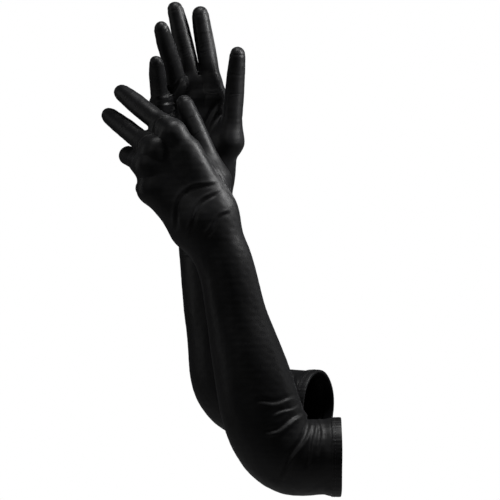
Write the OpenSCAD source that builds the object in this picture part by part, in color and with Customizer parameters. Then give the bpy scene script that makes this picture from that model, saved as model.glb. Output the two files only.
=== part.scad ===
// A pair of long opera gloves in stretch satin, holding the shape they have when worn.
// Both sleeves bend at the elbow. The left glove lies in the plane y = 0, with its palm
// towards +Y. The right glove lies behind it with its palm towards -Y.
// The origin is the centre of the left cuff's opening, and +X points out of that cuff.

/* [Cloth] */
// Thickness of the cloth
cloth = 1.2; // [1.0:0.1:1.4]
// Gap between a finger stall and the knuckles it bends at
stall_gap = 1.0; // [0.6:0.1:1.5]
// Width of the side strips sewn into the finger stalls
strip_w = 4.4; // [3:0.2:5.6]

/* [Pair] */
// Distance between the middle planes of the two gloves
pair_gap = 96; // [94:1:110]

/* [Sleeves] */
// Outer radius of the left cuff
left_cuff_r = 37.5; // [36:0.5:38]
// Outer radius of the right cuff
right_cuff_r = 36.5; // [35:0.5:37.5]
// Outer radius of the sleeves at the elbow
elbow_r = 40; // [38.5:0.5:40]
// Outer radius of the sleeves at the narrowest place above the wrist
left_wrist_r = 28; // [26:0.5:29]
// The same on the right glove
right_wrist_r = 26; // [24:0.5:28]

/* [Hem] */
// Width of the folded hem along the sleeve
hem_w = 10; // [8:1:12]
// Width of the elastic in the hem
elastic_w = 5; // [3:0.5:6]
// Thickness of the elastic in the hem
elastic_t = 0.7; // [0.5:0.1:0.8]

/* [Fingers] */
// Outer radius of the index stalls
index_r = 8.4; // [8:0.1:8.6]
// Outer radius of the middle stalls
middle_r = 8.3; // [8:0.1:8.5]
// Outer radius of the ring stalls
ring_r = 7.8; // [7.2:0.1:7.8]
// Outer radius of the little stalls
little_r = 7.5; // [7:0.1:7.5]
// Outer radius of the thumb stalls
thumb_r = 9.2; // [8.6:0.1:9.4]

/* [Hidden] */
satin = "#17171a";
satin_back = "#202024";
strip_color = "#2b2b30";
elastic_color = "#3a3a3f";
$fn = 64;
shell_fn = 26;
knuckle_r = 14;
// How far past the knuckle's surface the way into a stall is cut, and the way out of a cuff
knuckle_cut = 8;
mouth_cut = 5;
// How far a stall's bore runs back past its round base
base_cut = 2;
// How far the balls of a limb stand proud of its cones
proud = 0.1;
// The hem's two layers, and the room round the elastic between them
hem_wall = 0.8;
play = 0.3;
// Longer than anything that it cuts
far = 60;

// In each glove's own frame the palm faces +Y. A ball is [x, y, z, radius].
// The sleeve's balls run from the cuff to the wrist.
left_arm = [
    [0, 0, 0, left_cuff_r], [-30, 0, 0, left_cuff_r + 0.5], [-62, 0, 6, elbow_r],
    [-84, 0, 68, elbow_r - 1.5], [-104, 0, 146, left_wrist_r + 1.5], [-119, 0, 204, left_wrist_r],
];
right_arm = [
    [-20, 22, 44, right_cuff_r], [-50, 7, 45, right_cuff_r + 1], [-100, 0, 50, elbow_r],
    [-112, 0, 104, elbow_r], [-128, 0, 184, right_wrist_r + 6], [-134, 0, 242, right_wrist_r],
];

// A finger is [lean, bend, knuckle, radius, first length, second bend, second length].
// lean turns it from +Z in the plane of the hand, and bend turns it on towards the palm.
left_fingers = [
    [-51, 36, [-165, 0, 318], index_r, 60, 0, 0],
    [-51.5, 43, [-183, 0, 300], middle_r, 60, 0, 0],
    [-62, 55, [-190, 0, 286], ring_r, 18, 95, 32],
    [-75, 75, [-186, 0, 262], little_r, 14, 85, 26],
];
right_fingers = [
    [-8.8, 8, [-127, 0, 360], index_r, 59, 0, 0],
    [-14.3, 8, [-143, 0, 360], middle_r, 66, 0, 0],
    [-16, 40, [-159, 0, 359], ring_r, 64, 0, 0],
    [-3, 48, [-180, 3, 341], little_r, 50, 0, 0],
];
left_thumb = [-23.4, 12, [-122, 20, 274], thumb_r, 58, 0, 0];
right_thumb = [4.9, 8, [-109, 15, 313], thumb_r, 63, 0, 0];

// The other balls that shape the palm: the heel of the hand, and the root of the thumb.
left_heel = [[-121, 0, 210, left_wrist_r], [-167, 0, 240, 15], [-122, 0, 262, knuckle_r]];
right_heel = [[-134, 0, 262, right_wrist_r], [-158, 0, 304, 14], [-120, 0, 304, knuckle_r]];
left_thenar = [[-118, 6, 236, 18], [-122, 20, 274, knuckle_r]];
right_thenar = [[-122, 4, 282, 18], [-109, 15, 313, knuckle_r]];

function place(ball) = [ball[0], ball[1], ball[2]];
function knuckle_ball(finger) = concat(finger[2], [knuckle_r]);
// How far a stall's round base sits beyond its knuckle
function reach(finger) = knuckle_r + stall_gap + finger[3];
// The middle of a stall's side view, moved off towards the palm
function bent(angle) = [cos(angle), -sin(angle)];
function side_outline(finger, off) =
    let (
        turn = finger[5],
        inward = bent(turn),
        corner = [0, finger[4]] + off * ([1, 0] + inward) / (1 + cos(turn)),
        tip = [0, finger[4]] + far * [sin(turn), cos(turn)] + off * inward
    )
    [[off, -far / 2], corner, tip, tip + far * inward, [off + far, -far / 2]];

module aim(from, to) {
    way = to - from;
    translate(from)
        rotate([0, acos(way.z / norm(way)), atan2(way.y, way.x)])
            children();
}

// Balls joined by cones, with the first end left flat and carried on by extra.
// The balls stand a hair proud of the cones, so that no two surfaces coincide.
module limb(balls, grow, extra) {
    for (i = [0:len(balls) - 2])
        aim(place(balls[i]), place(balls[i + 1]))
            cylinder(h = norm(place(balls[i + 1]) - place(balls[i])),
                     r1 = balls[i][3] + grow, r2 = balls[i + 1][3] + grow, $fn = shell_fn);
    for (i = [1:len(balls) - 1])
        translate(place(balls[i])) sphere(r = balls[i][3] + grow + proud, $fn = shell_fn);
    if (extra > 0)
        aim(place(balls[0]), 2 * place(balls[0]) - place(balls[1]))
            cylinder(h = extra, r = balls[0][3] + grow, $fn = shell_fn);
}

module blob(balls, grow) {
    hull()
        for (ball = balls)
            translate(place(ball)) sphere(r = ball[3] + grow, $fn = shell_fn);
}

module on_knuckle(finger) {
    translate(finger[2])
        rotate([0, finger[0], 0]) rotate([-finger[1], 0, 0])
            children();
}

module on_stall(finger) {
    on_knuckle(finger) translate([0, 0, reach(finger)]) children();
}

// The body of the glove from knuckles to cuff, as a filled shape
module hand_and_sleeve(arm, heel, thenar, fingers, grow, extra) {
    limb(arm, grow, extra);
    blob(concat(heel, [for (f = fingers) knuckle_ball(f)]), grow);
    blob(thenar, grow);
}

module shell(arm, heel, thenar, fingers, thumb) {
    difference() {
        hand_and_sleeve(arm, heel, thenar, fingers, 0, 0);
        hand_and_sleeve(arm, heel, thenar, fingers, -cloth, mouth_cut);
        for (f = concat(fingers, [thumb]))
            on_knuckle(f) cylinder(h = knuckle_r + knuckle_cut, r = f[3] - cloth, $fn = shell_fn);
        aim(place(arm[0]), place(arm[1]))
            translate([0, 0, -far]) cylinder(h = far + hem_w, r = far, $fn = shell_fn);
    }
}

module palm_side() {
    translate([-250, 0, -100]) cube([300, 100, 600]);
}

// resize() with zeros keeps the size, and makes the panel one smooth faceted shell
module panel(arm, heel, thenar, fingers, thumb, palm) {
    resize([0, 0, 0])
        if (palm)
            intersection() {
                shell(arm, heel, thenar, fingers, thumb);
                palm_side();
            }
        else
            difference() {
                shell(arm, heel, thenar, fingers, thumb);
                palm_side();
            }
}

// A curled stall is one smooth faceted shell. resize() with zeros keeps its size.
module one_shell(finger) {
    if (finger[6] > 0) resize([0, 0, 0]) children();
    else children();
}

// A finger stall as a filled shape, with its base open by mouth
module finger_form(finger, r, mouth) {
    $fn = finger[6] > 0 ? shell_fn : 64;
    sphere(r = r);
    cylinder(h = finger[4], r = r);
    translate([0, 0, finger[4]]) {
        sphere(r = r);
        if (finger[6] > 0)
            rotate([-finger[5], 0, 0]) {
                cylinder(h = finger[6], r = r);
                translate([0, 0, finger[6]]) sphere(r = r);
            }
    }
    if (mouth > 0)
        translate([0, 0, -mouth]) cylinder(h = mouth, r = r);
}

module stall(finger) {
    difference() {
        finger_form(finger, finger[3], 0);
        finger_form(finger, finger[3] - cloth, finger[3] + base_cut);
    }
}

module side_of(finger, off) {
    translate([-far / 2, 0, 0])
        rotate([90, 0, 90])
            linear_extrude(height = far)
                polygon(side_outline(finger, off));
}

module palm_tab(finger, half_strip) {
    color(satin)
        on_stall(finger)
            one_shell(finger)
                intersection() {
                    stall(finger);
                    side_of(finger, half_strip);
                }
}

module back_tab(finger, half_strip) {
    color(satin_back)
        on_stall(finger)
            one_shell(finger)
                difference() {
                    stall(finger);
                    side_of(finger, -half_strip);
                }
}

module fourchettes(finger) {
    color(strip_color)
        on_stall(finger)
            one_shell(finger)
                difference() {
                    intersection() {
                        stall(finger);
                        side_of(finger, -strip_w / 2);
                    }
                    side_of(finger, strip_w / 2);
                }
}

// A band folded over on itself, with a channel in it for the elastic
module hem(arm) {
    bore_r = arm[0][3] - cloth;
    channel_t = elastic_t + play;
    aim(place(arm[0]), place(arm[1]))
        rotate_extrude()
            difference() {
                translate([bore_r, 0]) square([2 * hem_wall + channel_t, hem_w]);
                translate([bore_r + hem_wall, (hem_w - elastic_w) / 2 - play])
                    square([channel_t, elastic_w + 2 * play]);
            }
}

module elastic(arm) {
    aim(place(arm[0]), place(arm[1]))
        translate([0, 0, (hem_w - elastic_w) / 2])
            rotate_extrude()
                translate([arm[0][3] - cloth + hem_wall + play / 2, 0])
                    square([elastic_t, elastic_w]);
}

module in_right_glove() {
    translate([0, pair_gap, 0]) mirror([0, 1, 0]) children();
}

module left_panel(palm) {
    panel(left_arm, left_heel, left_thenar, left_fingers, left_thumb, palm);
}
module right_panel(palm) {
    in_right_glove()
        panel(right_arm, right_heel, right_thenar, right_fingers, right_thumb, palm);
}

module left_palm_panel() { color(satin) left_panel(true); }
module left_back_panel() { color(satin_back) left_panel(false); }
module left_cuff_hem() { color(satin) hem(left_arm); }
module left_cuff_elastic() { color(elastic_color) elastic(left_arm); }
module left_index_palm_tab() { palm_tab(left_fingers[0], strip_w / 2); }
module left_index_back_tab() { back_tab(left_fingers[0], strip_w / 2); }
module left_index_fourchettes() { fourchettes(left_fingers[0]); }
module left_middle_palm_tab() { palm_tab(left_fingers[1], strip_w / 2); }
module left_middle_back_tab() { back_tab(left_fingers[1], strip_w / 2); }
module left_middle_fourchettes() { fourchettes(left_fingers[1]); }
module left_ring_palm_tab() { palm_tab(left_fingers[2], strip_w / 2); }
module left_ring_back_tab() { back_tab(left_fingers[2], strip_w / 2); }
module left_ring_fourchettes() { fourchettes(left_fingers[2]); }
module left_little_palm_tab() { palm_tab(left_fingers[3], strip_w / 2); }
module left_little_back_tab() { back_tab(left_fingers[3], strip_w / 2); }
module left_little_fourchettes() { fourchettes(left_fingers[3]); }
module left_thumb_palm_half() { palm_tab(left_thumb, 0); }
module left_thumb_back_half() { back_tab(left_thumb, 0); }

module right_palm_panel() { color(satin) right_panel(true); }
module right_back_panel() { color(satin_back) right_panel(false); }
module right_cuff_hem() { color(satin) in_right_glove() hem(right_arm); }
module right_cuff_elastic() { color(elastic_color) in_right_glove() elastic(right_arm); }
module right_index_palm_tab() { in_right_glove() palm_tab(right_fingers[0], strip_w / 2); }
module right_index_back_tab() { in_right_glove() back_tab(right_fingers[0], strip_w / 2); }
module right_index_fourchettes() { in_right_glove() fourchettes(right_fingers[0]); }
module right_middle_palm_tab() { in_right_glove() palm_tab(right_fingers[1], strip_w / 2); }
module right_middle_back_tab() { in_right_glove() back_tab(right_fingers[1], strip_w / 2); }
module right_middle_fourchettes() { in_right_glove() fourchettes(right_fingers[1]); }
module right_ring_palm_tab() { in_right_glove() palm_tab(right_fingers[2], strip_w / 2); }
module right_ring_back_tab() { in_right_glove() back_tab(right_fingers[2], strip_w / 2); }
module right_ring_fourchettes() { in_right_glove() fourchettes(right_fingers[2]); }
module right_little_palm_tab() { in_right_glove() palm_tab(right_fingers[3], strip_w / 2); }
module right_little_back_tab() { in_right_glove() back_tab(right_fingers[3], strip_w / 2); }
module right_little_fourchettes() { in_right_glove() fourchettes(right_fingers[3]); }
module right_thumb_palm_half() { in_right_glove() palm_tab(right_thumb, 0); }
module right_thumb_back_half() { in_right_glove() back_tab(right_thumb, 0); }

left_palm_panel();
left_back_panel();
left_cuff_hem();
left_cuff_elastic();
left_index_palm_tab();
left_index_back_tab();
left_index_fourchettes();
left_middle_palm_tab();
left_middle_back_tab();
left_middle_fourchettes();
left_ring_palm_tab();
left_ring_back_tab();
left_ring_fourchettes();
left_little_palm_tab();
left_little_back_tab();
left_little_fourchettes();
left_thumb_palm_half();
left_thumb_back_half();
right_palm_panel();
right_back_panel();
right_cuff_hem();
right_cuff_elastic();
right_index_palm_tab();
right_index_back_tab();
right_index_fourchettes();
right_middle_palm_tab();
right_middle_back_tab();
right_middle_fourchettes();
right_ring_palm_tab();
right_ring_back_tab();
right_ring_fourchettes();
right_little_palm_tab();
right_little_back_tab();
right_little_fourchettes();
right_thumb_palm_half();
right_thumb_back_half();
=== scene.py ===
"""Long stretch-satin opera gloves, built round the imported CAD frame.

Each glove is one smooth closed form, given by a distance function over its bones. Its surface
is meshed, cut along the real seams into the cloth pieces, wrinkled, and given its thickness.
Lengths are in millimetres until a mesh is made. In a glove's own space the palm faces +Y.
"""
import math

import bmesh
import bpy
import numpy as np
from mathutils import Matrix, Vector

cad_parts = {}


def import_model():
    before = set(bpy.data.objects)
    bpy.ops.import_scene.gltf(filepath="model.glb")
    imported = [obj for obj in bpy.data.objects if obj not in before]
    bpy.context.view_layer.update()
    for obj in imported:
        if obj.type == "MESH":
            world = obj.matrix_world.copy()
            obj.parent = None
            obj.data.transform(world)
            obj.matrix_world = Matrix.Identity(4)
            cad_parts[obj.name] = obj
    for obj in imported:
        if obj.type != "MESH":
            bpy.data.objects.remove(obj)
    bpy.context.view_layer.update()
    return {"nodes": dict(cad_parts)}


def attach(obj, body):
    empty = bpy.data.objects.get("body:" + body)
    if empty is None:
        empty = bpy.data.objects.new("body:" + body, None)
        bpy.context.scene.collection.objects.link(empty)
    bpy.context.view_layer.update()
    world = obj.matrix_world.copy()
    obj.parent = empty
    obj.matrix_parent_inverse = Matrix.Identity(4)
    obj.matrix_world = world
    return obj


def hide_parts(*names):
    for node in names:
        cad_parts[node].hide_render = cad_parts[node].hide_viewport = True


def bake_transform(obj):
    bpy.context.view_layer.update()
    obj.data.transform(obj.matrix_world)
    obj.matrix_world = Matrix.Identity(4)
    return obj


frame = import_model()

MM = 0.001
RIGHT_ANGLE = math.pi / 2
PAIR_GAP = 96.0      # between the planes of the two arms
CLOTH = 0.9          # thickness of the cloth
HEM_W = 10.0
STRIP_HALF = 2.2     # half the width of a finger's side strip
CONTACT_GAP = 0.12   # half the gap between stalls that touch
ROOT_RADIUS = 13.0   # the ball at a knuckle
STALL_REACH = 14.5   # how far from its axis a straight stall's cloth may lie
GRID = 2.25          # mesh cell of a panel, before each face is split in four
STALL_GRID = 1.5
COARSE = 4           # fine cells along one coarse cell
FAR = 60.0           # the distance taken where no bone is near

# Flat blanks in metres. They are loose: each piece is cut from inside its rectangle.
PANEL_BLANK = (0.16, 0.52)
HEM_BLANK = (0.24, 0.024)
TAB_BLANK = (0.034, 0.085)
STRIP_BLANK = (0.012, 0.17)


# ---------------------------------------------------------------- camera
def make_camera():
    """A long lens, level, looking along +Y at the middle of the pair."""
    distance, across = 2.5, 0.49
    data = bpy.data.cameras.new("camera")
    data.sensor_width = 36
    data.lens = data.sensor_width * distance / across
    data.clip_end = 20
    camera = bpy.data.objects.new("camera", data)
    camera.location = (-0.0892, -distance, 0.2029)
    camera.rotation_euler = (RIGHT_ANGLE, 0, 0)
    bpy.context.scene.collection.objects.link(camera)
    bpy.context.scene.camera = camera


make_camera()


# ---------------------------------------------------------------- bones of the two gloves
# A bone end is (x, y, z, radius, flatness), where flatness is the thickness along Y over the
# width. A finger is (lean, bend, knuckle, base radius, length, second bend, second length).
# A cuff is its rim's centre and a point on the sleeve's axis inside it.
GLOVES = {
    "left": {
        "cuff": ((0, 0, 0), (-30, 0, 0)),
        "arm": [(12, 0, 0, 37.2, 1.0), (-30, 0, 0, 37.2, 1.0), (-50, 0, 3, 39, 0.98),
                (-67, 0, 20, 40, 0.95), (-84, 0, 68, 38.2, 0.93), (-95, 0, 110, 33, 0.93),
                (-104, 0, 146, 29, 0.92), (-112, 0, 183, 27.6, 0.9), (-121, 0, 206, 28, 0.82),
                (-134, 0, 226, 30, 0.68)],
        "palm": [[(-126, 1, 226, 17, 0.95), (-146, 1, 272, 15, 0.9), (-165, 0, 316, 11.8, 0.95)],
                 [(-136, 0, 228, 17, 0.95), (-183, 0, 300, 11.8, 0.95)],
                 [(-145, 0, 230, 16, 0.95), (-190, 0, 285, 11.8, 0.95)],
                 [(-152, 1, 233, 16.5, 0.95), (-186, 0, 262, 11.8, 0.95)],
                 [(-121, 3, 244, 16, 1.0), (-150, 2, 300, 13, 1.0)]],
        "thenar": [(-121, 8, 236, 16, 1.0), (-124, 20, 270, 13.5, 1.0)],
        "fingers": {
            "index": (-51, 36, (-165, 0, 318), 10.2, 59, 0, 0),
            "middle": (-51.5, 43, (-183, 0, 300), 10.0, 59, 0, 0),
            "ring": (-62, 55, (-190, 0, 286), 9.2, 18, 95, 32),
            "little": (-75, 75, (-186, 0, 262), 8.2, 14, 85, 26),
        },
        "thumb": (-23.4, 12, (-122, 20, 274), 10.4, 58, 0, 0),
    },
    "right": {
        "cuff": ((-20, 22, 44), (-50, 7, 45)),
        "arm": [(10.5, 38.5, 43, 36.2, 1.0), (-20, 22, 44, 36.2, 1.0), (-50, 7, 45, 36.8, 1.0),
                (-80, 1, 47, 39, 0.97), (-101, 0, 60, 40.5, 0.94), (-112, 0, 104, 40, 0.92),
                (-120, 0, 144, 36.5, 0.92), (-128, 0, 184, 32, 0.92), (-133, 0, 215, 28.6, 0.9),
                (-134, 0, 242, 26.2, 0.86), (-134, 0, 266, 26.2, 0.76), (-137, 0, 286, 27.5, 0.62)],
        "palm": [[(-128, 2, 286, 15, 0.95), (-127, 0, 358, 11.8, 0.95)],
                 [(-134, 0, 286, 15, 0.9), (-143, 0, 359, 11.6, 0.95)],
                 [(-142, 0, 288, 15, 0.9), (-159, 0, 357, 11.6, 0.95)],
                 [(-149, 2, 290, 15.5, 1.0), (-168, 1, 318, 13.6, 1.0), (-178, 1, 341, 11.2, 1.0)]],
        "thenar": [(-125, 8, 284, 15.5, 1.0), (-112, 13, 312, 14.5, 1.0)],
        "fingers": {
            "index": (-8.8, 8, (-127, 0, 360), 10.3, 59, 0, 0),
            "middle": (-14.3, 8, (-143, 0, 360), 10.1, 66, 0, 0),
            "ring": (-16, 40, (-159, 0, 359), 9.4, 64, 0, 0),
            "little": (-3, 48, (-180, 3, 341), 8.8, 50, 0, 0),
        },
        "thumb": (4.9, 8, (-109, 15, 313), 9.8, 63, 0, 0),
    },
}
CAD_RADIUS = {"index": 8.4, "middle": 8.3, "ring": 7.8, "little": 7.5, "thumb": 9.2}
KNUCKLE_REACH = 15.0


def turn_x(angle):
    c, s = math.cos(math.radians(angle)), math.sin(math.radians(angle))
    return np.array([[1, 0, 0], [0, c, -s], [0, s, c]])


def turn_y(angle):
    c, s = math.cos(math.radians(angle)), math.sin(math.radians(angle))
    return np.array([[c, 0, s], [0, 1, 0], [-s, 0, c]])


class Stall:
    """One finger stall: its frame at the hinge, +Z along it and +Y towards the palm, and its bones."""

    def __init__(self, name, data):
        lean, bend, knuckle, r, length, curl, beyond = data
        self.name, self.curl, self.length = name, curl, length
        self.axes = turn_y(lean) @ turn_x(-bend)
        self.base = np.array(knuckle) + self.axes @ (0, 0, KNUCKLE_REACH + CAD_RADIUS[name])
        back = -KNUCKLE_REACH - CAD_RADIUS[name]
        bones = [(0, back, ROOT_RADIUS), (0, 0, r)]
        if beyond:
            way = np.array([math.sin(math.radians(curl)), math.cos(math.radians(curl))])
            bones += [(0, length - 1, r + 0.3)]
            bones += [(*(way * beyond * 0.5 + (0, length)), r - 0.5)]
            bones += [(*(way * (beyond + 1) + (0, length)), r - 1.8)]
            self.tip = way * beyond + (0, length)
        else:
            bow = 1.2 if name != "thumb" else 1.6
            bones += [(-bow, length * 0.36, r - 0.3), (-bow, length * 0.45, r - 0.4),
                      (-bow * 0.7, length * 0.72, r - 0.9), (0, length * 0.97, r - 1.8)]
            bones += [(0.4, length + 1.4, r - 2.6)]
            self.tip = np.array([0, length])
        self.bones = [self.ball(n, t, radius) for n, t, radius in bones]

    def ball(self, n, t, radius):
        return (*(self.base + self.axes @ (0, n, t)), radius, 1.0)

    def local(self, p):
        return (p - self.base) @ self.axes


def bone_distance(p, a, b):
    """How far points are outside a cone with round ends."""
    pa, pb = np.array(a[:3]), np.array(b[:3])
    way = pb - pa
    t = np.clip(((p - pa) @ way) / (way @ way), 0, 1)
    off = p - pa - t[:, None] * way
    flat = a[4] + t * (b[4] - a[4])
    off[:, 1] /= flat
    return np.sqrt(np.einsum("ij,ij->i", off, off)) - (a[3] + t * (b[3] - a[3]))


def only_near(distance, p, bones, margin=30.0):
    """distance(p) within margin of some bones, and FAR elsewhere."""
    ends = np.array(bones)
    low = (ends[:, :3] - ends[:, 3:4]).min(0) - margin
    high = (ends[:, :3] + ends[:, 3:4]).max(0) + margin
    near = np.all((p > low) & (p < high), axis=1)
    d = np.full(len(p), FAR)
    if near.any():
        d[near] = distance(p[near])
    return d


def chain_distance(p, bones):
    def distance(q):
        d = bone_distance(q, bones[0], bones[1])
        for a, b in zip(bones[1:], bones[2:]):
            d = np.minimum(d, bone_distance(q, a, b))
        return d
    return only_near(distance, p, bones)


def blend_min(a, b, k):
    """The lesser of two distances, rounded where they are within k of each other."""
    h = np.maximum(k - np.abs(a - b), 0) / k
    return np.minimum(a, b) - h * h * k / 4


class Tube:
    """A tube along a smooth curve through bone ends. Each column of pts is one natural cubic spline."""

    def __init__(self, bones):
        self.pts = np.array(bones, float)
        steps = np.linalg.norm(np.diff(self.pts[:, :3], axis=0), axis=1)
        self.knots = np.concatenate([[0], np.cumsum(steps)])
        n = len(steps) + 1
        system, right = np.eye(n), np.zeros((n, self.pts.shape[1]))
        slope = np.diff(self.pts, axis=0) / steps[:, None]
        for i in range(1, n - 1):
            system[i, i - 1:i + 2] = steps[i - 1] / 6, (steps[i - 1] + steps[i]) / 3, steps[i] / 6
            right[i] = slope[i] - slope[i - 1]
        self.curve = np.linalg.solve(system, right)
        self.guess = np.linspace(0, self.knots[-1], 80)
        self.guess_at = self.at(self.guess)[0][:, :3]

    def at(self, t):
        """The spline, its slope and its second slope at t."""
        i = np.clip(np.searchsorted(self.knots, t, "right") - 1, 0, len(self.knots) - 2)
        h = (self.knots[i + 1] - self.knots[i])[:, None]
        b = (t - self.knots[i])[:, None] / h
        a = 1 - b
        y0, y1, m0, m1 = self.pts[i], self.pts[i + 1], self.curve[i], self.curve[i + 1]
        value = a * y0 + b * y1 + ((a ** 3 - a) * m0 + (b ** 3 - b) * m1) * h * h / 6
        slope = (y1 - y0) / h + ((3 * b * b - 1) * m1 - (3 * a * a - 1) * m0) * h / 6
        return value, slope, a * m0 + b * m1

    def nearest(self, p):
        """The place along the tube that each point is beside."""
        g = self.guess_at
        t = self.guess[np.argmin(np.sum(g * g, 1) - 2 * p @ g.T, axis=1)]
        for _ in range(3):
            value, slope, second = self.at(t)
            off = p - value[:, :3]
            top = np.einsum("ij,ij->i", off, slope[:, :3])
            bottom = np.einsum("ij,ij->i", slope[:, :3], slope[:, :3])
            bottom -= np.einsum("ij,ij->i", off, second[:, :3])
            t = np.clip(t + np.clip(top / np.maximum(bottom, 0.3), -5, 5), 0, self.knots[-1])
        return t

    def distance(self, p):
        value = self.at(self.nearest(p))[0]
        off = p - value[:, :3]
        off[:, 1] /= value[:, 4]
        return np.sqrt(np.einsum("ij,ij->i", off, off)) - value[:, 3]


class Glove:
    """The distance function of one glove, and the frames of its stalls."""

    def __init__(self, side):
        data = GLOVES[side]
        self.side = side
        self.arm = Tube(data["arm"])
        self.palm = data["palm"]
        self.thenar = data["thenar"]
        self.stalls = [Stall(n, f) for n, f in data["fingers"].items()]
        self.thumb = Stall("thumb", data["thumb"])
        self.webs = []
        for a, b in zip(self.stalls, self.stalls[1:]):
            ends = [s.base - 8.2 * s.axes[:, 2] for s in (a, b)]
            self.webs.append([(*ends[0], 7.6, 1.0), (*ends[1], 7.6, 1.0)])
        self.cuff, inner = (np.array(end, float) for end in data["cuff"])
        self.out = (self.cuff - inner) / np.linalg.norm(self.cuff - inner)

    def core(self, p):
        d = only_near(self.arm.distance, p, self.arm.pts)
        hand = chain_distance(p, self.palm[0])
        for bones in self.palm[1:]:
            hand = blend_min(hand, chain_distance(p, bones), 13.0)
        hand = blend_min(hand, chain_distance(p, self.thenar), 14.0)
        for web in self.webs:
            hand = blend_min(hand, chain_distance(p, web), 5.0)
        return blend_min(d, hand, 16.0)

    def all_stalls(self):
        return self.stalls + [self.thumb]

    def with_stall(self, core, p, stall):
        """The hand with one stall, which is pressed flat where it meets a neighbour."""
        d = chain_distance(p, stall.bones)
        for other in self.stalls:
            if stall in self.stalls and abs(self.stalls.index(other) - self.stalls.index(stall)) == 1:
                between = (d - chain_distance(p, other.bones)) / 2 + CONTACT_GAP
                d = -blend_min(-d, -between, 2.0)
        return blend_min(core, d, 10.0 if stall.name == "thumb" else 8.0)

    def whole(self, p):
        core = self.core(p)
        d = core
        for stall in self.all_stalls():
            d = np.minimum(d, self.with_stall(core, p, stall))
        return d

    def one_stall(self, stall):
        return lambda p: self.with_stall(self.core(p), p, stall)

    def to_world(self, p):
        """From the glove's own space to the row frame, in metres."""
        q = np.array(p, float)
        if self.side == "right":
            q[..., 1] = PAIR_GAP - q[..., 1]
        return q * MM

    def turn_to_world(self, n):
        q = np.array(n, float)
        if self.side == "right":
            q[..., 1] *= -1
        return q


# ---------------------------------------------------------------- meshing a distance function
HEM_BORE = {"left": 36.3, "right": 35.3}
CORNERS = [(i, j, k) for i in (0, 1) for j in (0, 1) for k in (0, 1)]


def in_parts(field, p, size=100_000):
    return np.concatenate([field(p[i:i + size]) for i in range(0, len(p), size)])


def surface_net(field, low, high, step, axes=np.eye(3), origin=np.zeros(3)):
    """A mesh of four-sided faces on the zero level of field, over a grid turned by axes."""
    blocks = np.ceil((np.array(high) - low) / (step * COARSE)).astype(int)
    counts = blocks * COARSE + 1

    def sample(index):
        return in_parts(field, (index * step + low) @ axes.T + origin)

    coarse = sample(np.argwhere(np.ones(blocks + 1, bool)) * COARSE).reshape(blocks + 1)
    least = np.full(blocks, np.inf)
    for i, j, k in CORNERS:
        part = coarse[i:blocks[0] + i, j:blocks[1] + j, k:blocks[2] + k]
        least = np.minimum(least, np.abs(part))
    close = least < 1.5 * step * COARSE
    for axis in range(3):
        close = np.repeat(close, COARSE, axis)
    wanted = np.zeros(counts, bool)
    for i, j, k in CORNERS:
        wanted[i:counts[0] - 1 + i, j:counts[1] - 1 + j, k:counts[2] - 1 + k] |= close
    middle = [(np.arange(n) + COARSE // 2) // COARSE for n in counts]
    value = coarse[np.ix_(*middle)]
    value[wanted] = sample(np.argwhere(wanted))
    inside = value < 0
    total = np.zeros(counts - 1, np.int32)
    for i, j, k in CORNERS:
        total += inside[i:counts[0] - 1 + i, j:counts[1] - 1 + j, k:counts[2] - 1 + k]
    active = (total > 0) & (total < 8)
    cells = np.argwhere(active)
    number = np.full(counts - 1, -1)
    number[active] = np.arange(len(cells))
    place = np.zeros((len(cells), 3))
    hits = np.zeros(len(cells))
    for a in CORNERS:
        for axis in range(3):
            if a[axis]:
                continue
            b = list(a)
            b[axis] = 1
            va = value[tuple((cells + a).T)]
            vb = value[tuple((cells + b).T)]
            cross = (va < 0) != (vb < 0)
            t = np.where(cross, va / np.where(cross, va - vb, 1), 0)
            point = np.array(a, float) + t[:, None] * (np.array(b) - a)
            place += point * cross[:, None]
            hits += cross
    verts = (cells + place / hits[:, None]) * step + low
    quads = []
    for axis in range(3):
        u, v = (axis + 1) % 3, (axis + 2) % 3
        shift = np.zeros(3, int)
        shift[axis] = 1
        a = inside[tuple(slice(0, n - s) for n, s in zip(counts, shift))]
        b = inside[tuple(slice(s, n) for n, s in zip(counts, shift))]
        edges = np.argwhere(a != b)
        keep = (edges[:, u] > 0) & (edges[:, v] > 0)
        keep &= (edges[:, u] < counts[u] - 1) & (edges[:, v] < counts[v] - 1)
        edges = edges[keep]
        first = a[tuple(edges.T)]
        du, dv = np.zeros(3, int), np.zeros(3, int)
        du[u], dv[v] = 1, 1
        ring = [number[tuple((edges - m).T)] for m in (du + dv, dv, 0 * du, du)]
        face = np.stack(ring, 1)
        face[~first] = face[~first][:, ::-1]
        quads.append(face)
    return verts @ axes.T + origin, np.concatenate(quads)


def gradient(field, p, step=0.05):
    g = np.stack([in_parts(field, p + step * e) - in_parts(field, p - step * e) for e in np.eye(3)], 1)
    return g / (2 * step)


def settle(field, p, rounds=2):
    """Moves points on to the zero level of field."""
    for _ in range(rounds):
        g = gradient(field, p)
        d = in_parts(field, p)
        p = p - (d / np.maximum(np.einsum("ij,ij->i", g, g), 0.05))[:, None] * g
    return p


def even_out(verts, quads, rounds=3):
    """Draws each point towards the mean of its neighbours."""
    for _ in range(rounds):
        total, count = np.zeros_like(verts), np.zeros(len(verts))
        for a, b in ((0, 1), (1, 2), (2, 3), (3, 0)):
            np.add.at(total, quads[:, a], verts[quads[:, b]])
            np.add.at(total, quads[:, b], verts[quads[:, a]])
            np.add.at(count, quads[:, a], 1)
            np.add.at(count, quads[:, b], 1)
        verts = verts + 0.5 * (total / np.maximum(count, 1)[:, None] - verts)
    return verts


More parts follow.
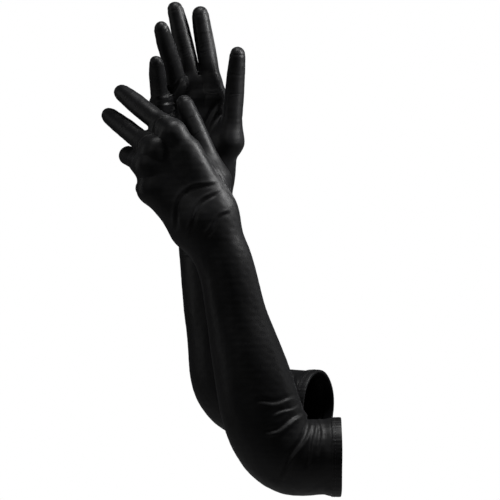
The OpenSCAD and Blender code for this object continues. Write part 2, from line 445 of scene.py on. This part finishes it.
def split_quads(verts, quads):
    """Each four-sided face becomes four."""
    pairs = np.sort(np.stack([quads, np.roll(quads, -1, 1)], -1).reshape(-1, 2), 1)
    unique, back = np.unique(pairs, axis=0, return_inverse=True)
    mid = back.reshape(-1, 4) + len(verts)
    centre = np.arange(len(quads)) + len(verts) + len(unique)
    points = np.concatenate([verts, verts[unique].mean(1), verts[quads].mean(1)])
    faces = [np.stack([quads[:, i], mid[:, i], centre, mid[:, i - 1]], 1) for i in range(4)]
    return points, np.concatenate(faces)


def fine_surface(field, low, high, step, axes=np.eye(3), origin=np.zeros(3)):
    verts, quads = surface_net(field, low, high, step, axes, origin)
    verts = settle(field, even_out(verts, quads))
    verts, quads = split_quads(verts, quads)
    return settle(field, verts), quads


class Cut:
    """A mesh that is cut along planes, and its pieces taken out by a rule."""

    def __init__(self, verts, faces):
        mesh = bpy.data.meshes.new("cut")
        mesh.vertices.add(len(verts))
        mesh.vertices.foreach_set("co", verts.ravel())
        mesh.loops.add(faces.size)
        mesh.loops.foreach_set("vertex_index", faces.ravel())
        mesh.polygons.add(len(faces))
        mesh.polygons.foreach_set("loop_start", np.arange(len(faces)) * 4)
        mesh.update(calc_edges=True)
        self.bm = bmesh.new()
        self.bm.from_mesh(mesh)
        bpy.data.meshes.remove(mesh)

    def plane(self, point, normal, near=None):
        """Cuts along a plane, only where near(points) holds if it is given."""
        geom = self.bm.verts[:] + self.bm.edges[:] + self.bm.faces[:]
        if near is not None:
            co = np.array([v.co for v in self.bm.verts])
            self.bm.verts.index_update()
            chosen = near(co)
            faces = [f for f in self.bm.faces if chosen[f.verts[0].index]]
            edges = {e for f in faces for e in f.edges}
            verts = {v for f in faces for v in f.verts}
            geom = list(verts) + list(edges) + faces
        bmesh.ops.bisect_plane(self.bm, geom=geom, dist=0.02, plane_co=Vector(point), plane_no=Vector(normal))

    def arrays(self):
        """(points, the corners of all faces in one row, where each face starts, its corner count)"""
        mesh = bpy.data.meshes.new("cut")
        self.bm.to_mesh(mesh)
        self.bm.free()
        co = np.empty(len(mesh.vertices) * 3)
        mesh.vertices.foreach_get("co", co)
        corner = np.empty(len(mesh.loops), int)
        mesh.loops.foreach_get("vertex_index", corner)
        start, count = np.empty(len(mesh.polygons), int), np.empty(len(mesh.polygons), int)
        mesh.polygons.foreach_get("loop_start", start)
        mesh.polygons.foreach_get("loop_total", count)
        bpy.data.meshes.remove(mesh)
        return co.reshape(-1, 3), corner, start, count


# ---------------------------------------------------------------- wrinkles, seams and folds
# A fold is (points in the plane of the hand, side, width, depth). side is 1 on the palm side,
# -1 on the back and 0 on both. The cloth dips along it and swells on its left.
FOLDS = {
    "left": [
        ([(-163, 218), (-160, 247), (-148, 262), (-133, 266), (-117, 268)], -1, 2.2, 0.8),
        ([(-151, 213), (-140, 244), (-128, 255), (-114, 262)], -1, 2.0, 0.9),
        ([(-133, 213), (-120, 232), (-107, 242)], -1, 2.0, 0.7),
        ([(-136, 300), (-122, 282), (-110, 262)], -1, 1.3, 0.4),
        ([(-168, 236), (-150, 226), (-136, 212)], 1, 2.0, 0.8),
        ([(-164, 226), (-140, 216), (-112, 214)], 1, 2.0, 0.8),
        ([(-29, 44), (-38, 22), (-54, -2), (-66, -24)], 0, 2.6, 1.3),
        ([(-28, 42), (-30, 16), (-37, -10)], 0, 2.2, 1.0),
        ([(-33, 50), (-52, 36), (-78, 26)], 0, 2.6, 1.2),
        ([(-38, 62), (-60, 58), (-86, 56)], 0, 2.4, 0.7),
        ([(-24, 42), (-22, 20), (-24, 2)], 0, 1.8, 0.7),
        ([(-36, 56), (-56, 48), (-70, 44)], 0, 1.8, 0.6),
    ],
    "right": [
        ([(-157, 378), (-169, 363), (-177, 357), (-188, 354)], 1, 1.5, 0.9),
        ([(-150, 362), (-164, 354), (-184, 347)], 1, 1.3, 0.7),
        ([(-146, 352), (-162, 344), (-182, 336)], 1, 1.3, 0.6),
        ([(-144, 342), (-158, 333), (-176, 326)], 1, 1.3, 0.5),
        ([(-117, 356), (-128, 348), (-136, 326), (-134, 296)], 1, 2.4, 1.2),
        ([(-160, 270), (-140, 274), (-112, 270)], 0, 1.8, 0.7),
        ([(-160, 258), (-138, 262), (-110, 258)], 0, 1.8, 0.6),
        ([(-162, 196), (-146, 194), (-130, 198)], 0, 1.6, 0.6),
        ([(-50, 84), (-66, 62), (-84, 44), (-100, 20)], 0, 2.6, 1.3),
        ([(-58, 90), (-84, 80), (-112, 74)], 0, 2.6, 1.1),
        ([(-44, 82), (-46, 56), (-56, 30)], 0, 2.2, 0.9),
        ([(-64, 104), (-88, 100), (-110, 102)], 0, 2.2, 0.6),
    ],
}


def along(p, points):
    """(signed distance from a line in the XZ plane, share of the way along it)"""
    flat = p[:, [0, 2]]
    lengths = np.linalg.norm(np.diff(points, axis=0), axis=1)
    best, signed, share = np.full(len(p), 1e9), np.zeros(len(p)), np.zeros(len(p))
    done = 0.0
    for a, b, length in zip(points, points[1:], lengths):
        way = (b - a) / length
        off = flat - a
        t = np.clip(off @ way, 0, length)
        gap = off - t[:, None] * way
        d = np.linalg.norm(gap, axis=1)
        closer = d < best
        side = np.sign(way[0] * off[:, 1] - way[1] * off[:, 0])
        best = np.where(closer, d, best)
        signed = np.where(closer, d * side, signed)
        share = np.where(closer, (done + t) / lengths.sum(), share)
        done += length
    return signed, share


def softened(points, rounds=2):
    """Cuts the corners of an open line, and keeps its ends."""
    line = np.array(points, float)
    for _ in range(rounds):
        inner = np.stack([0.75 * line[:-1] + 0.25 * line[1:], 0.25 * line[:-1] + 0.75 * line[1:]], 1)
        line = np.concatenate([line[:1], inner.reshape(-1, 2)[1:-1], line[-1:]])
    return line


def bump(x):
    return np.exp(-x * x)


def waves(p, seed, count, low, high, stretch):
    """A smooth wavy field of about unit height, with wavelengths from low to high."""
    rng = np.random.default_rng(seed)
    total = np.zeros(len(p))
    for _ in range(count):
        way = rng.normal(size=3) * stretch
        way /= np.linalg.norm(way)
        total += np.sin(p @ way * (2 * math.pi / rng.uniform(low, high)) + rng.uniform(0, 2 * math.pi))
    return total / math.sqrt(count / 2)


def relief(glove, p, n):
    """How far the cloth stands in or out of the smooth form."""
    h = 0.16 * waves(p, 3, 14, 16, 46, (1, 1, 0.35)) + 0.05 * waves(p, 5, 12, 6, 14, (1, 1, 0.6))
    palm = np.clip(0.5 + 1.5 * n[:, 1], 0, 1)
    for points, side, width, depth in FOLDS[glove.side]:
        line = softened(points)
        reach = 14 * width
        near = np.all((p[:, [0, 2]] > line.min(0) - reach) & (p[:, [0, 2]] < line.max(0) + reach), axis=1)
        if not near.any():
            continue
        signed, share = along(p[near], line)
        wobble = signed + 0.5 * width * np.sin(share * 9 + points[0][0])
        fade = np.clip(np.minimum(share, 1 - share) * 5, 0, 1)
        fade = fade * fade * (3 - 2 * fade) * bump(signed / (6 * width))
        mask = {1: palm[near], -1: 1 - palm[near], 0: 1}[side]
        h[near] += depth * fade * mask * (0.8 * bump((wobble - 1.7 * width) / width) - bump(wobble / width))
    return h + stall_relief(glove, p, n) + seam_relief(glove, p) + hem_rise(glove, p)


def hem_rise(glove, p):
    """The sleeve widens a little where it runs on to the folded hem."""
    t = np.clip(((p - glove.cuff) @ glove.out + HEM_W + 8) / 8, 0, 1)
    return 1.3 * t * t * (3 - 2 * t)


JOINT_CREASES = ((0.34, 0.12), (0.38, 0.18), (0.69, 0.13))


def stall_relief(glove, p, n):
    """Small puckers over the finger joints, and the side strips' seams."""
    h = np.zeros(len(p))
    for stall in glove.all_stalls():
        q = stall.local(p)
        on = (q[:, 2] > -4) & (np.hypot(q[:, 0], q[:, 1]) < 30)
        if not on.any():
            continue
        q, m = q[on], n[on] @ stall.axes
        off = middle_side(stall, q)
        fade = np.clip((q[:, 2] + 1) / 4, 0, 1)
        side = np.clip(1.6 * np.abs(m[:, 0]) - 0.5, 0, 1)
        if stall.name != "thumb":
            seam = np.abs(np.abs(off) - STRIP_HALF)
        else:
            seam = np.abs(off)
        ridge = 0.22 * bump((seam - 1.1) / 0.8) - 0.45 * bump(seam / 0.55)
        part = ridge * side * fade
        if not stall.curl:
            for place, depth in JOINT_CREASES:
                t = q[:, 2] - place * stall.length - 0.05 * q[:, 0] + 0.5 * np.sin(0.35 * q[:, 0] + 9 * place)
                crease = 0.6 * bump((t - 1.5) / 1.1) - bump(t / 0.8)
                part += depth * crease * np.clip(1.1 - np.abs(m[:, 0]), 0, 1)
        h[on] += part
    return h


def seam_relief(glove, p):
    """The seam where the palm and back panels meet, all along both sides."""
    away = np.abs(p[:, 1])
    fade = np.ones(len(p))
    for stall in glove.all_stalls():
        q = stall.local(p)
        near = np.clip((q[:, 2] + 6) / 5, 0, 1) * (np.hypot(q[:, 0], q[:, 1]) < 16)
        fade *= 1 - near
    return fade * (0.28 * bump((away - 1.5) / 1.0) - 0.55 * bump(away / 0.6))


# ---------------------------------------------------------------- pieces
def piece_object(name, outer, inner, faces, corner_normals):
    """One cloth piece, closed: its outside, its inside, and a strip round its edge."""
    corner, start, count = faces
    n = len(outer)
    face_of = np.repeat(np.arange(len(start)), count)
    last = start + count - 1
    following = np.arange(len(corner)) + 1
    following[last] = start
    a, b = corner, corner[following]
    key = np.minimum(a, b) * n + np.maximum(a, b)
    _, index, uses = np.unique(key, return_inverse=True, return_counts=True)
    open_edge = uses[index] == 1
    ea, eb = a[open_edge], b[open_edge]
    rim = np.stack([eb, ea, ea + n, eb + n], 1)
    order = start[face_of] + last[face_of] - np.arange(len(corner))
    inside = corner[order] + n
    loops = np.concatenate([corner, inside, rim.ravel()])
    starts = np.concatenate([start, start + len(corner), 2 * len(corner) + 4 * np.arange(len(rim))])
    mesh = bpy.data.meshes.new(name)
    points = np.concatenate([outer, inner])
    mesh.vertices.add(len(points))
    mesh.vertices.foreach_set("co", points.ravel())
    mesh.loops.add(len(loops))
    mesh.loops.foreach_set("vertex_index", loops)
    mesh.polygons.add(len(starts))
    mesh.polygons.foreach_set("loop_start", starts)
    mesh.update(calc_edges=True)
    mesh.polygons.foreach_set("use_smooth", np.ones(len(starts), bool))
    edge_way = points[eb] - points[ea]
    down = points[ea + n] - points[ea]
    flat = np.cross(down, edge_way)
    flat /= np.maximum(np.linalg.norm(flat, axis=1), 1e-12)[:, None]
    normals = np.concatenate([corner_normals[corner], -corner_normals[corner[order]], np.repeat(flat, 4, 0)])
    mesh.normals_split_custom_set(normals)
    obj = bpy.data.objects.new(name, mesh)
    bpy.context.scene.collection.objects.link(obj)
    return obj


def cloth_piece(glove, name, field, table, chosen):
    """Takes the chosen faces out of a cut mesh, wrinkles them and gives them thickness."""
    co, corner, start, count = table
    keep = np.repeat(chosen, count)
    used, fresh = np.unique(corner[keep], return_inverse=True)
    counts = count[chosen]
    starts = np.concatenate([[0], np.cumsum(counts)[:-1]])
    p = settle(field, co[used], 1)
    g = gradient(field, p)
    n = g / np.linalg.norm(g, axis=1)[:, None]
    h = relief(glove, p, n)
    first = np.cross(n, np.where(np.abs(n[:, 2:]) < 0.8, (0, 0, 1), (1, 0, 0)))
    first /= np.linalg.norm(first, axis=1)[:, None]
    second = np.cross(n, first)
    step = 0.2
    tilt = n - sum((((relief(glove, p + step * t, n) - h) / step)[:, None] * t for t in (first, second)), 0)
    tilt /= np.linalg.norm(tilt, axis=1)[:, None]
    outer = p + h[:, None] * n
    inner = p + (0.6 * h - CLOTH)[:, None] * n
    corners = fresh
    if glove.side == "right":
        ends = starts + counts - 1
        face_of = np.repeat(np.arange(len(starts)), counts)
        corners = corners[starts[face_of] + ends[face_of] - np.arange(len(corners))]
    faces = corners, starts, counts
    return piece_object(name, glove.to_world(outer), glove.to_world(inner), faces, glove.turn_to_world(tilt))


def face_centres(table):
    co, corner, start, count = table
    return np.add.reduceat(co[corner], start) / count[:, None]


def round_stall(stall, p):
    """Which points belong to a stall, and so not to the panels. A curled stall leaves its own axis."""
    q = stall.local(p)
    beside = np.abs(q[:, 0]) < 13 if stall.curl else np.hypot(q[:, 0], q[:, 1]) < STALL_REACH
    return (q[:, 2] > 0) & beside


def body_pieces(glove):
    """The palm and back panels, from the knuckles to the hem."""
    low = np.array([-232.0, -46.0, -46.0])
    high = np.array([16.0, 50.0, 400.0])
    verts, quads = fine_surface(glove.whole, low, high, GRID)
    cut = Cut(verts, quads)
    hem_start = glove.cuff - HEM_W * glove.out
    cut.plane(hem_start, glove.out)
    cut.plane((0, 0, 0), (0, 1, 0))
    for stall in glove.all_stalls():
        def at_root(p, stall=stall):
            q = stall.local(p)
            return (np.abs(q[:, 2]) < 5) & (np.hypot(q[:, 0], q[:, 1]) < 16)

        cut.plane(stall.base, stall.axes[:, 2], at_root)
    table = cut.arrays()
    centres = face_centres(table)
    keep = (centres - hem_start) @ glove.out < 0
    for stall in glove.all_stalls():
        keep &= ~round_stall(stall, centres)
    pieces = {}
    for part, chosen in (("palm_panel", centres[:, 1] > 0), ("back_panel", centres[:, 1] < 0)):
        pieces[part] = cloth_piece(glove, f"{glove.side}_{part}_cloth", glove.whole, table, keep & chosen)
    return pieces


def stall_pieces(glove, stall):
    """The palm tab, back tab and side strips of one finger, or the two halves of the thumb."""
    field = glove.one_stall(stall)
    tip_n, tip_t = stall.tip
    low = np.array([-13.0, min(-14.0, tip_n - 14), -3.5])
    high = np.array([13.0, max(14.0, tip_n + 13), max(tip_t, stall.length) + 13])
    verts, quads = fine_surface(field, low, high, STALL_GRID, stall.axes, stall.base)
    cut = Cut(verts, quads)
    cut.plane(stall.base, stall.axes[:, 2])
    half = 0.0 if stall.name == "thumb" else STRIP_HALF
    for off in {half, -half}:
        cut_middle(cut, stall, off)
    table = cut.arrays()
    centres = stall.local(face_centres(table))
    offset = middle_side(stall, centres)
    ahead = (centres[:, 2] > 0) & (np.abs(centres[:, 0]) < 12.9)
    names = ("palm_half", "back_half") if stall.name == "thumb" else ("palm_tab", "back_tab")
    rules = {names[0]: offset > half, names[1]: offset < -half}
    if half:
        rules["fourchettes"] = np.abs(offset) < half
    title = f"{glove.side}_{stall.name}"
    return {f"{title}_{part}": cloth_piece(glove, f"{title}_{part}_cloth", field, table, ahead & rule)
            for part, rule in rules.items()}


def middle_side(stall, q):
    """Signed distance from the middle surface, mitred at a curled stall's corner."""
    if not stall.curl:
        return q[:, 1]
    turn = math.radians(stall.curl)
    inward = np.array([math.cos(turn), -math.sin(turn)])
    rel = q[:, 1:] - (0, stall.length)
    before = rel @ np.array([math.sin(turn / 2), math.cos(turn / 2)]) < 0
    return np.where(before, q[:, 1], rel @ inward)


def cut_middle(cut, stall, off):
    """Cuts along the surface at off from a stall's middle, which turns with a curled stall."""
    axes = stall.axes
    if not stall.curl:
        cut.plane(stall.base + off * axes[:, 1], axes[:, 1])
        return
    turn = math.radians(stall.curl)
    corner = np.array([0, 0, stall.length])
    split = np.array([0, math.sin(turn / 2), math.cos(turn / 2)])
    inward = np.array([0, math.cos(turn), -math.sin(turn)])

    def before(p):
        return (stall.local(p) - corner) @ split < 1.2

    def after(p):
        return (stall.local(p) - corner) @ split > -1.2

    cut.plane(stall.base + axes @ corner, axes @ split)
    cut.plane(stall.base + axes @ (corner + off * np.array([0, 1, 0])), axes[:, 1], before)
    cut.plane(stall.base + axes @ (corner + off * inward), axes @ inward, after)


def closed_mesh(name, rings):
    """A mesh through rings of points that join up both ways."""
    m, n = rings.shape[:2]
    i, j = np.meshgrid(np.arange(m), np.arange(n), indexing="ij")
    a, b = (i + 1) % m, (j + 1) % n
    quads = np.stack([i * n + j, a * n + j, a * n + b, i * n + b], -1).reshape(-1, 4)
    mesh = bpy.data.meshes.new(name)
    mesh.from_pydata((rings.reshape(-1, 3)).tolist(), [], quads.tolist())
    mesh.polygons.foreach_set("use_smooth", np.ones(len(quads), bool))
    obj = bpy.data.objects.new(name, mesh)
    bpy.context.scene.collection.objects.link(obj)
    return obj


def round_corners(loop, rounds=2):
    """Cuts the corners of a closed outline."""
    for _ in range(rounds):
        after = np.roll(loop, -1, 0)
        loop = np.stack([0.78 * loop + 0.22 * after, 0.22 * loop + 0.78 * after], 1).reshape(-1, 2)
    return loop


def cuff_axes(glove):
    across = np.cross(glove.out, (0, 0, 1))
    across /= np.linalg.norm(across)
    return across, np.cross(across, glove.out)


def gathers(angle, seed):
    """Small even gathers round a cuff, from 0 to about 1."""
    rng = np.random.default_rng(seed)
    total = sum(np.sin(n * angle + rng.uniform(0, 2 * math.pi)) for n in rng.integers(34, 74, 9))
    return 0.5 + total / 9


def hem_piece(glove):
    """Cloth folded inwards over the elastic, as one band with a channel open towards the sleeve."""
    bore = HEM_BORE[glove.side]
    outline = np.array([(0, 0), (9.3, 0), (10, 0.5), (10, 2.1), (9.3, 2.6), (6.4, 2.7), (3.5, 2.45),
                        (1.4, 2.6), (0, 2.2), (0, 1.75), (8.1, 1.75), (8.5, 1.3), (8.1, 0.75), (0, 0.75)])
    loop = round_corners(outline)[::-1]
    angle = np.linspace(0, 2 * math.pi, 420, endpoint=False)[:, None]
    outward = np.clip((loop[:, 1] - 1.7) / 0.6, 0, 1)
    radius = bore + loop[:, 1] + outward * 0.22 * gathers(angle, 11)
    along_axis = loop[:, 0] - HEM_W + 0.12 * np.sin(5 * angle) * (loop[:, 0] > 9)
    across, up = cuff_axes(glove)
    rings = (glove.cuff + along_axis[..., None] * glove.out
             + radius[..., None] * (np.cos(angle)[..., None] * across + np.sin(angle)[..., None] * up))
    if glove.side == "right":
        rings = rings[:, ::-1]
    return closed_mesh(f"{glove.side}_cuff_hem_cloth", glove.to_world(rings))


def hem_stitches(glove):
    """A row of thread stitches through the hem, all round."""
    bore = HEM_BORE[glove.side]
    across, up = cuff_axes(glove)
    pitch, half_length, rings, sides = 3.2, 1.15, 7, 8
    count = int(2 * math.pi * (bore + 2.5) / pitch)
    stitches = []
    for i in range(count):
        middle = 2 * math.pi * i / count
        share = np.linspace(-1, 1, rings)
        angle = middle + share * half_length / (bore + 2.5)
        thick = 0.26 * np.sqrt(np.maximum(1 - share ** 2, 0.02))
        lift = bore + 2.62 + 0.22 * gathers(angle, 11) - 0.30 * share ** 2
        turn = np.linspace(0, 2 * math.pi, sides, endpoint=False)
        r = lift[:, None] + thick[:, None] * np.sin(turn)
        t = 3.5 - HEM_W + thick[:, None] * np.cos(turn)
        way = np.cos(angle)[:, None, None] * across + np.sin(angle)[:, None, None] * up
        stitches.append(glove.to_world(glove.cuff + t[..., None] * glove.out + r[..., None] * way))
    verts = np.concatenate([stitch.reshape(-1, 3) for stitch in stitches])
    faces = []
    for base in range(0, len(verts), rings * sides):
        for ring in range(base, base + (rings - 1) * sides, sides):
            for b in range(sides):
                c = (b + 1) % sides
                faces.append((ring + b, ring + c, ring + sides + c, ring + sides + b))
        last = base + (rings - 1) * sides
        faces += [tuple(range(base + sides - 1, base - 1, -1)), tuple(range(last, last + sides))]
    mesh = bpy.data.meshes.new(f"{glove.side}_hem_stitches")
    mesh.from_pydata(verts.tolist(), [], faces)
    mesh.polygons.foreach_set("use_smooth", np.ones(len(faces), bool))
    obj = bpy.data.objects.new(mesh.name, mesh)
    bpy.context.scene.collection.objects.link(obj)
    return obj


# ---------------------------------------------------------------- materials
def new_material(name):
    """(material, its node tree, its shader, the object's coordinates)"""
    mat = bpy.data.materials.new(name)
    mat.use_nodes = True
    tree = mat.node_tree
    return mat, tree, tree.nodes["Principled BSDF"], tree.nodes.new("ShaderNodeTexCoord").outputs["Object"]


def pattern(tree, kind, where, bands=None, **inputs):
    """A wave or noise over the object. Its inputs are named in capitals."""
    node = tree.nodes.new(kind)
    if bands:
        node.bands_direction = bands
    for name, value in inputs.items():
        node.inputs[name].default_value = value
    tree.links.new(where, node.inputs["Vector"])
    return node.outputs["Fac"]


def colours(tree, source, shader, dark, light, start=0.0, end=1.0):
    """Base colour from dark to light, by a pattern."""
    ramp = tree.nodes.new("ShaderNodeValToRGB")
    for element, place, colour in zip(ramp.color_ramp.elements, (start, end), (dark, light)):
        element.position = place
        element.color = (*colour, 1)
    tree.links.new(source, ramp.inputs["Fac"])
    tree.links.new(ramp.outputs["Color"], shader.inputs["Base Color"])


def raised(tree, shader, first, second, share, strength, depth):
    """Bump from two patterns, with share of the second."""
    both = tree.nodes.new("ShaderNodeMix")
    both.inputs["Factor"].default_value = share
    tree.links.new(first, both.inputs["A"])
    tree.links.new(second, both.inputs["B"])
    node = tree.nodes.new("ShaderNodeBump")
    node.inputs["Strength"].default_value = strength
    node.inputs["Distance"].default_value = depth
    tree.links.new(both.outputs["Result"], node.inputs["Height"])
    tree.links.new(node.outputs["Normal"], shader.inputs["Normal"])


def satin(name, tint, lift):
    """Black stretch satin: nearly no colour, a fine knit, and a soft sheen that varies a little."""
    mat, tree, shader, where = new_material(name)
    shader.inputs["Specular IOR Level"].default_value = 0.32
    shader.inputs["Sheen Weight"].default_value = 0.10 * lift
    shader.inputs["Sheen Roughness"].default_value = 0.38
    shader.inputs["Sheen Tint"].default_value = (0.86, 0.88, 0.92, 1)

    broad = pattern(tree, "ShaderNodeTexNoise", where, Scale=38, Detail=3)
    dark = (0.0035 * tint, 0.0035 * tint, 0.004 * tint)
    light = (0.0075 * tint, 0.0075 * tint, 0.0085 * tint)
    colours(tree, broad, shader, dark, light, 0.3, 0.75)
    rough = tree.nodes.new("ShaderNodeMapRange")
    rough.inputs["To Min"].default_value = 0.40
    rough.inputs["To Max"].default_value = 0.54
    tree.links.new(broad, rough.inputs["Value"])
    tree.links.new(rough.outputs["Result"], shader.inputs["Roughness"])

    knit = pattern(tree, "ShaderNodeTexWave", where, "DIAGONAL", Scale=420, Distortion=1.4, Detail=1)
    thread = pattern(tree, "ShaderNodeTexNoise", where, Scale=1500, Detail=2)
    raised(tree, shader, knit, thread, 0.6, 0.22, 0.00012)
    return mat


def thread_material():
    """Black polyester thread, plied."""
    mat, tree, shader, where = new_material("thread")
    shader.inputs["Roughness"].default_value = 0.42
    ply = pattern(tree, "ShaderNodeTexWave", where, "DIAGONAL", Scale=700)
    colours(tree, ply, shader, (0.004, 0.004, 0.0045), (0.02, 0.02, 0.022))
    return mat


def elastic_material():
    """Black woven elastic: ribs of covered rubber, with fine picks across them."""
    mat, tree, shader, where = new_material("woven_elastic")
    shader.inputs["Roughness"].default_value = 0.62
    shader.inputs["Specular IOR Level"].default_value = 0.3
    ribs = pattern(tree, "ShaderNodeTexWave", where, "X", Scale=310, Distortion=0.4)
    picks = pattern(tree, "ShaderNodeTexNoise", where, Scale=1300, Detail=2)
    colours(tree, ribs, shader, (0.005, 0.005, 0.0055), (0.022, 0.022, 0.024))
    raised(tree, shader, ribs, picks, 0.3, 0.5, 0.0002)
    return mat


MATERIALS = {
    "satin": satin("satin", 1.0, 1.0),
    "satin_strip": satin("satin_strip", 1.15, 1.1),
    "satin_hem": satin("satin_hem", 1.05, 1.0),
}
THREAD = thread_material()
ELASTIC = elastic_material()


def finish_piece(obj, slot, node, flat):
    """Material and slot of a cloth piece; its sheet, flat, is not used.
    """
    obj.data.materials.append(MATERIALS[slot])
    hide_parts(node)


def dress(glove):
    hand = f"{glove.side}_glove"
    for part, obj in body_pieces(glove).items():
        finish_piece(obj, "satin", f"{glove.side}_{part}", PANEL_BLANK)
        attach(obj, hand)
    hem = hem_piece(glove)
    finish_piece(hem, "satin_hem", f"{glove.side}_cuff_hem", HEM_BLANK)
    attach(hem, hand)
    stitches = hem_stitches(glove)
    stitches.data.materials.append(THREAD)
    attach(stitches, hand)
    for stall in glove.all_stalls():
        along_stall = stall.axes[:, 2]
        start = glove.to_world(stall.base + 0.6 * along_stall)
        end = glove.to_world(stall.base + (14 if stall.curl else 20) * along_stall)
        for node, obj in stall_pieces(glove, stall).items():
            strip = node.endswith("fourchettes")
            slot, flat = ("satin_strip", STRIP_BLANK) if strip else ("satin", TAB_BLANK)
            finish_piece(obj, slot, node, flat)
            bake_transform(obj)


# ---------------------------------------------------------------- stage and light
def white_to_camera(tree, lit, output):
    """What the camera sees is plain white, while the light that it gives stays low."""
    white = tree.nodes.new("ShaderNodeEmission")
    path = tree.nodes.new("ShaderNodeLightPath")
    mix = tree.nodes.new("ShaderNodeMixShader")
    tree.links.new(path.outputs["Is Camera Ray"], mix.inputs["Fac"])
    tree.links.new(lit, mix.inputs[1])
    tree.links.new(white.outputs["Emission"], mix.inputs[2])
    tree.links.new(mix.outputs["Shader"], tree.nodes[output].inputs["Surface"])


def make_stage():
    scene = bpy.context.scene
    scene.view_settings.view_transform = "Standard"
    scene.view_settings.look = "None"
    world = bpy.data.worlds.new("studio")
    scene.world = world
    world.use_nodes = True
    background = world.node_tree.nodes["Background"]
    background.inputs["Color"].default_value = (1, 1, 1, 1)
    background.inputs["Strength"].default_value = 0.022
    white_to_camera(world.node_tree, background.outputs["Background"], "World Output")


def add_floor():
    """A plain pale floor, well below the pair, which is held by its cuff."""
    mesh = bpy.data.meshes.new("floor")
    half, level = 3.0, -0.35
    corners = [(-half, -half, level), (half, -half, level), (half, half, level), (-half, half, level)]
    mesh.from_pydata(corners, [], [(0, 1, 2, 3)])
    floor = bpy.data.objects.new("floor", mesh)
    bpy.context.scene.collection.objects.link(floor)
    mat = bpy.data.materials.new("floor")
    mat.use_nodes = True
    white_to_camera(mat.node_tree, mat.node_tree.nodes["Principled BSDF"].outputs["BSDF"], "Material Output")
    mesh.materials.append(mat)


def softbox(name, place, aim, size, power):
    data = bpy.data.lights.new(name, "AREA")
    data.shape = "RECTANGLE"
    data.size, data.size_y = size
    data.energy = power
    lamp = bpy.data.objects.new(name, data)
    lamp.location = place
    way = Vector(aim) - Vector(place)
    lamp.rotation_euler = way.to_track_quat("-Z", "Y").to_euler()
    lamp.visible_camera = False
    bpy.context.scene.collection.objects.link(lamp)


make_stage()
add_floor()
MIDDLE = (-0.1, 0.04, 0.22)      # of the pair
FAR_PALM = (-0.15, 0.10, 0.36)
softbox("left_box", (-1.1, 0.02, 0.42), (-0.12, 0.05, 0.30), (0.30, 0.9), 0.8)
softbox("right_box", (1.2, 0.45, 0.5), MIDDLE, (0.5, 1.4), 1.2)
softbox("front_box", (-0.8, -1.2, 0.9), MIDDLE, (0.8, 0.8), 1.2)
softbox("side_palm_box", (0.16, 0.0, 0.52), FAR_PALM, (0.06, 0.20), 1.7)
softbox("top_palm_box", (-0.10, -0.02, 0.80), FAR_PALM, (0.20, 0.08), 1.2)

for side in ("left", "right"):
    dress(Glove(side))
    band = frame["nodes"][f"{side}_cuff_elastic"]
    band.data.materials.clear()
    band.data.materials.append(ELASTIC)
